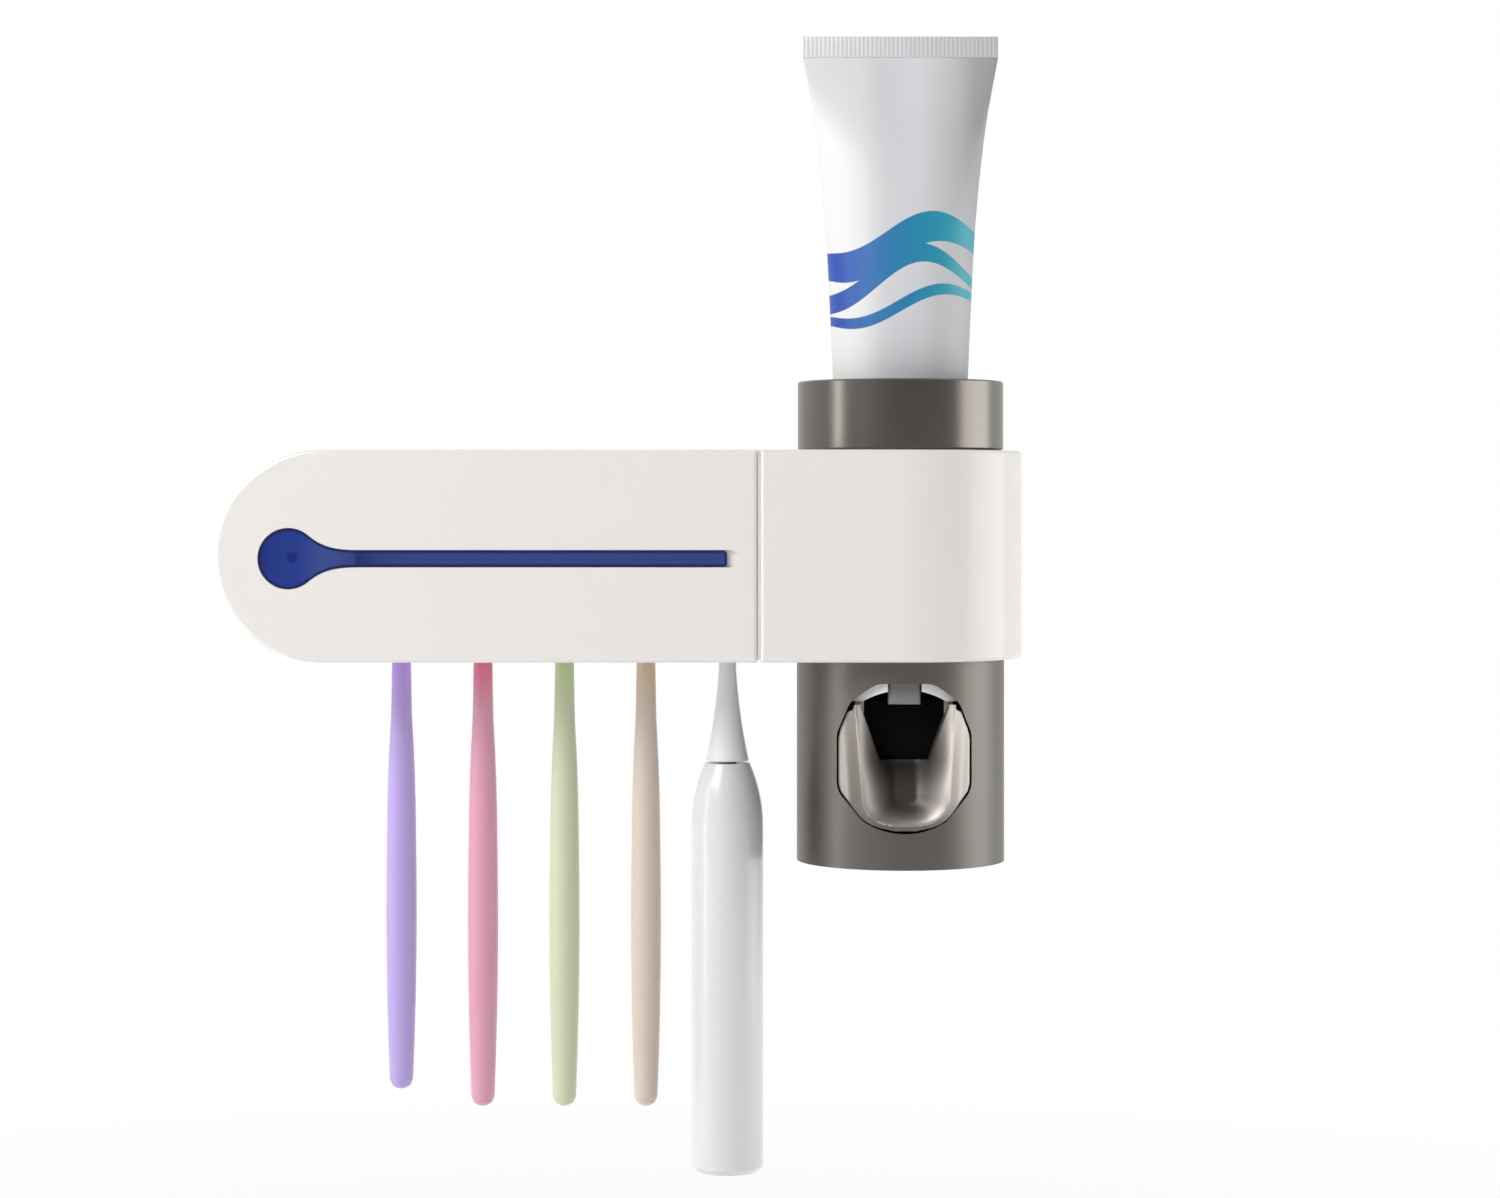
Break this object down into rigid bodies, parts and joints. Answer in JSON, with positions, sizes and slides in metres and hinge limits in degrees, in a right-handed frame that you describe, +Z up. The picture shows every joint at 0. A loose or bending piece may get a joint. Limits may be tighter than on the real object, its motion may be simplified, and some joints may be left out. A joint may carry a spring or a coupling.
{
  "type": "toothpaste dispenser",
  "caption": "Wall-hung toothpaste dispenser with a push-lever squeezer beside a flip-lid chamber that holds and sterilises hanging toothbrushes.",
  "frame": {"origin": "centre of the wall plate's adhesive face, on the wall", "axes": "+X to the right along the wall, +Y into the wall, +Z up"},
  "size_m": [0.2531, 0.0773, 0.3629],
  "materials": {
    "case_white": "glossy warm white",
    "lid_white": "glossy warm white",
    "window_blue": "translucent deep blue",
    "inner_white": "plain moulded",
    "squeezer_grey": "satin metallic paint",
    "inner_grey": "plain moulded",
    "inner_dark": "plain moulded",
    "silicone_grey": "soft matt",
    "steel": "bright",
    "adhesive_foam": "foam tape",
    "lamp_glass": "clear quartz",
    "lamp_metal": "satin",
    "reflector": "polished",
    "board_green": "lacquered board",
    "chip_black": "matt",
    "cell_silver": "foil",
    "led_blue": "clear blue lens",
    "tube_white": "laminate",
    "tube_hard": "moulded",
    "brush_purple": "soft matt",
    "brush_pink": "soft matt",
    "brush_green": "soft matt",
    "brush_beige": "soft matt",
    "bristle_white": "fine filament",
    "power_white": "satin white"
  },
  "bodies": {
    "wall_mount": {"wall_plate": "inner_white", "adhesive_pad": "adhesive_foam"},
    "case": {"case_shell": "case_white", "back_cover": "inner_white", "back_cover_screws": "steel", "brush_rack": "inner_white", "catch_plates": "steel", "lamp_glass": "lamp_glass", "lamp_caps": "lamp_metal", "lamp_holder_left": "inner_white", "lamp_holder_right": "inner_white", "lamp_reflector": "reflector", "lamp_grille": "inner_white", "status_led": "led_blue", "control_board": "board_green", "board_components": "chip_black", "battery_cell": "cell_silver", "charge_port": "steel", "squeezer_barrel": "squeezer_grey", "neck_sleeve": "squeezer_grey", "barrel_base": "inner_grey", "pump_frame": "inner_white", "tube_socket": "silicone_grey", "paste_duct": "inner_grey", "pump_block": "inner_grey", "pump_bellows": "silicone_grey", "return_spring": "steel", "paste_nozzle": "silicone_grey", "lever_pins": "steel"},
    "collar": {"tube_collar": "squeezer_grey"},
    "lid": {"lid_shell": "lid_white", "light_window": "window_blue", "hinge_pin_left": "steel", "hinge_pin_right": "steel", "lid_magnets": "steel"},
    "lever": {"squeeze_lever": "squeezer_grey", "push_plate": "inner_dark"},
    "pusher": {"pump_pusher": "inner_grey"},
    "tube": {"tube_sleeve": "tube_white", "tube_shoulder": "tube_hard"},
    "brush_1": {"brush_handle_1": "brush_purple", "brush_bristles_1": "bristle_white"},
    "brush_2": {"brush_handle_2": "brush_pink", "brush_bristles_2": "bristle_white"},
    "brush_3": {"brush_handle_3": "brush_green", "brush_bristles_3": "bristle_white"},
    "brush_4": {"brush_handle_4": "brush_beige", "brush_bristles_4": "bristle_white"},
    "power_brush": {"power_handle": "power_white", "power_head": "power_white", "power_bristles": "bristle_white"}
  },
  "joints": [
    {"name": "case_lift", "type": "slide", "parent": "wall_mount", "child": "case", "axis": [0, 0, 1], "range_m": [0, 0.012]},
    {"name": "lid_flip", "type": "hinge", "parent": "case", "child": "lid", "pos_m": [0, -0.06453, 0.0301], "axis": [-1, 0, 0], "range_deg": [0, 90]},
    {"name": "collar_twist", "type": "hinge", "parent": "case", "child": "collar", "pos_m": [0.08951, -0.03852, 0], "axis": [0, 0, 1], "range_deg": [0, 45]},
    {"name": "lever_push", "type": "hinge", "parent": "case", "child": "lever", "pos_m": [0.08951, -0.06003, -0.0425], "axis": [1, 0, 0], "range_deg": [0, 12], "stiffness_Nm_per_rad": 0.15, "springref_deg": -8.59},
    {"name": "pusher_slide", "type": "slide", "parent": "case", "child": "pusher", "axis": [0, 1, 0], "range_m": [0, 0.003], "deforming": ["pump_bellows", "return_spring"]},
    {"name": "tube_lift", "type": "slide", "parent": "case", "child": "tube", "axis": [0, 0, 1], "range_m": [0, 0.08]},
    {"name": "brush_1_lift", "type": "slide", "parent": "case", "child": "brush_1", "axis": [0, 0, 1], "range_m": [0, 0.008]},
    {"name": "brush_2_lift", "type": "slide", "parent": "case", "child": "brush_2", "axis": [0, 0, 1], "range_m": [0, 0.008]},
    {"name": "brush_3_lift", "type": "slide", "parent": "case", "child": "brush_3", "axis": [0, 0, 1], "range_m": [0, 0.008]},
    {"name": "brush_4_lift", "type": "slide", "parent": "case", "child": "brush_4", "axis": [0, 0, 1], "range_m": [0, 0.008]},
    {"name": "power_brush_lift", "type": "slide", "parent": "case", "child": "power_brush", "axis": [0, 0, 1], "range_m": [0, 0.008]}
  ],
  "couplings": [
    {"joint": "pusher_slide", "follows": "lever_push", "m_per_rad": 0.0128}
  ]
}
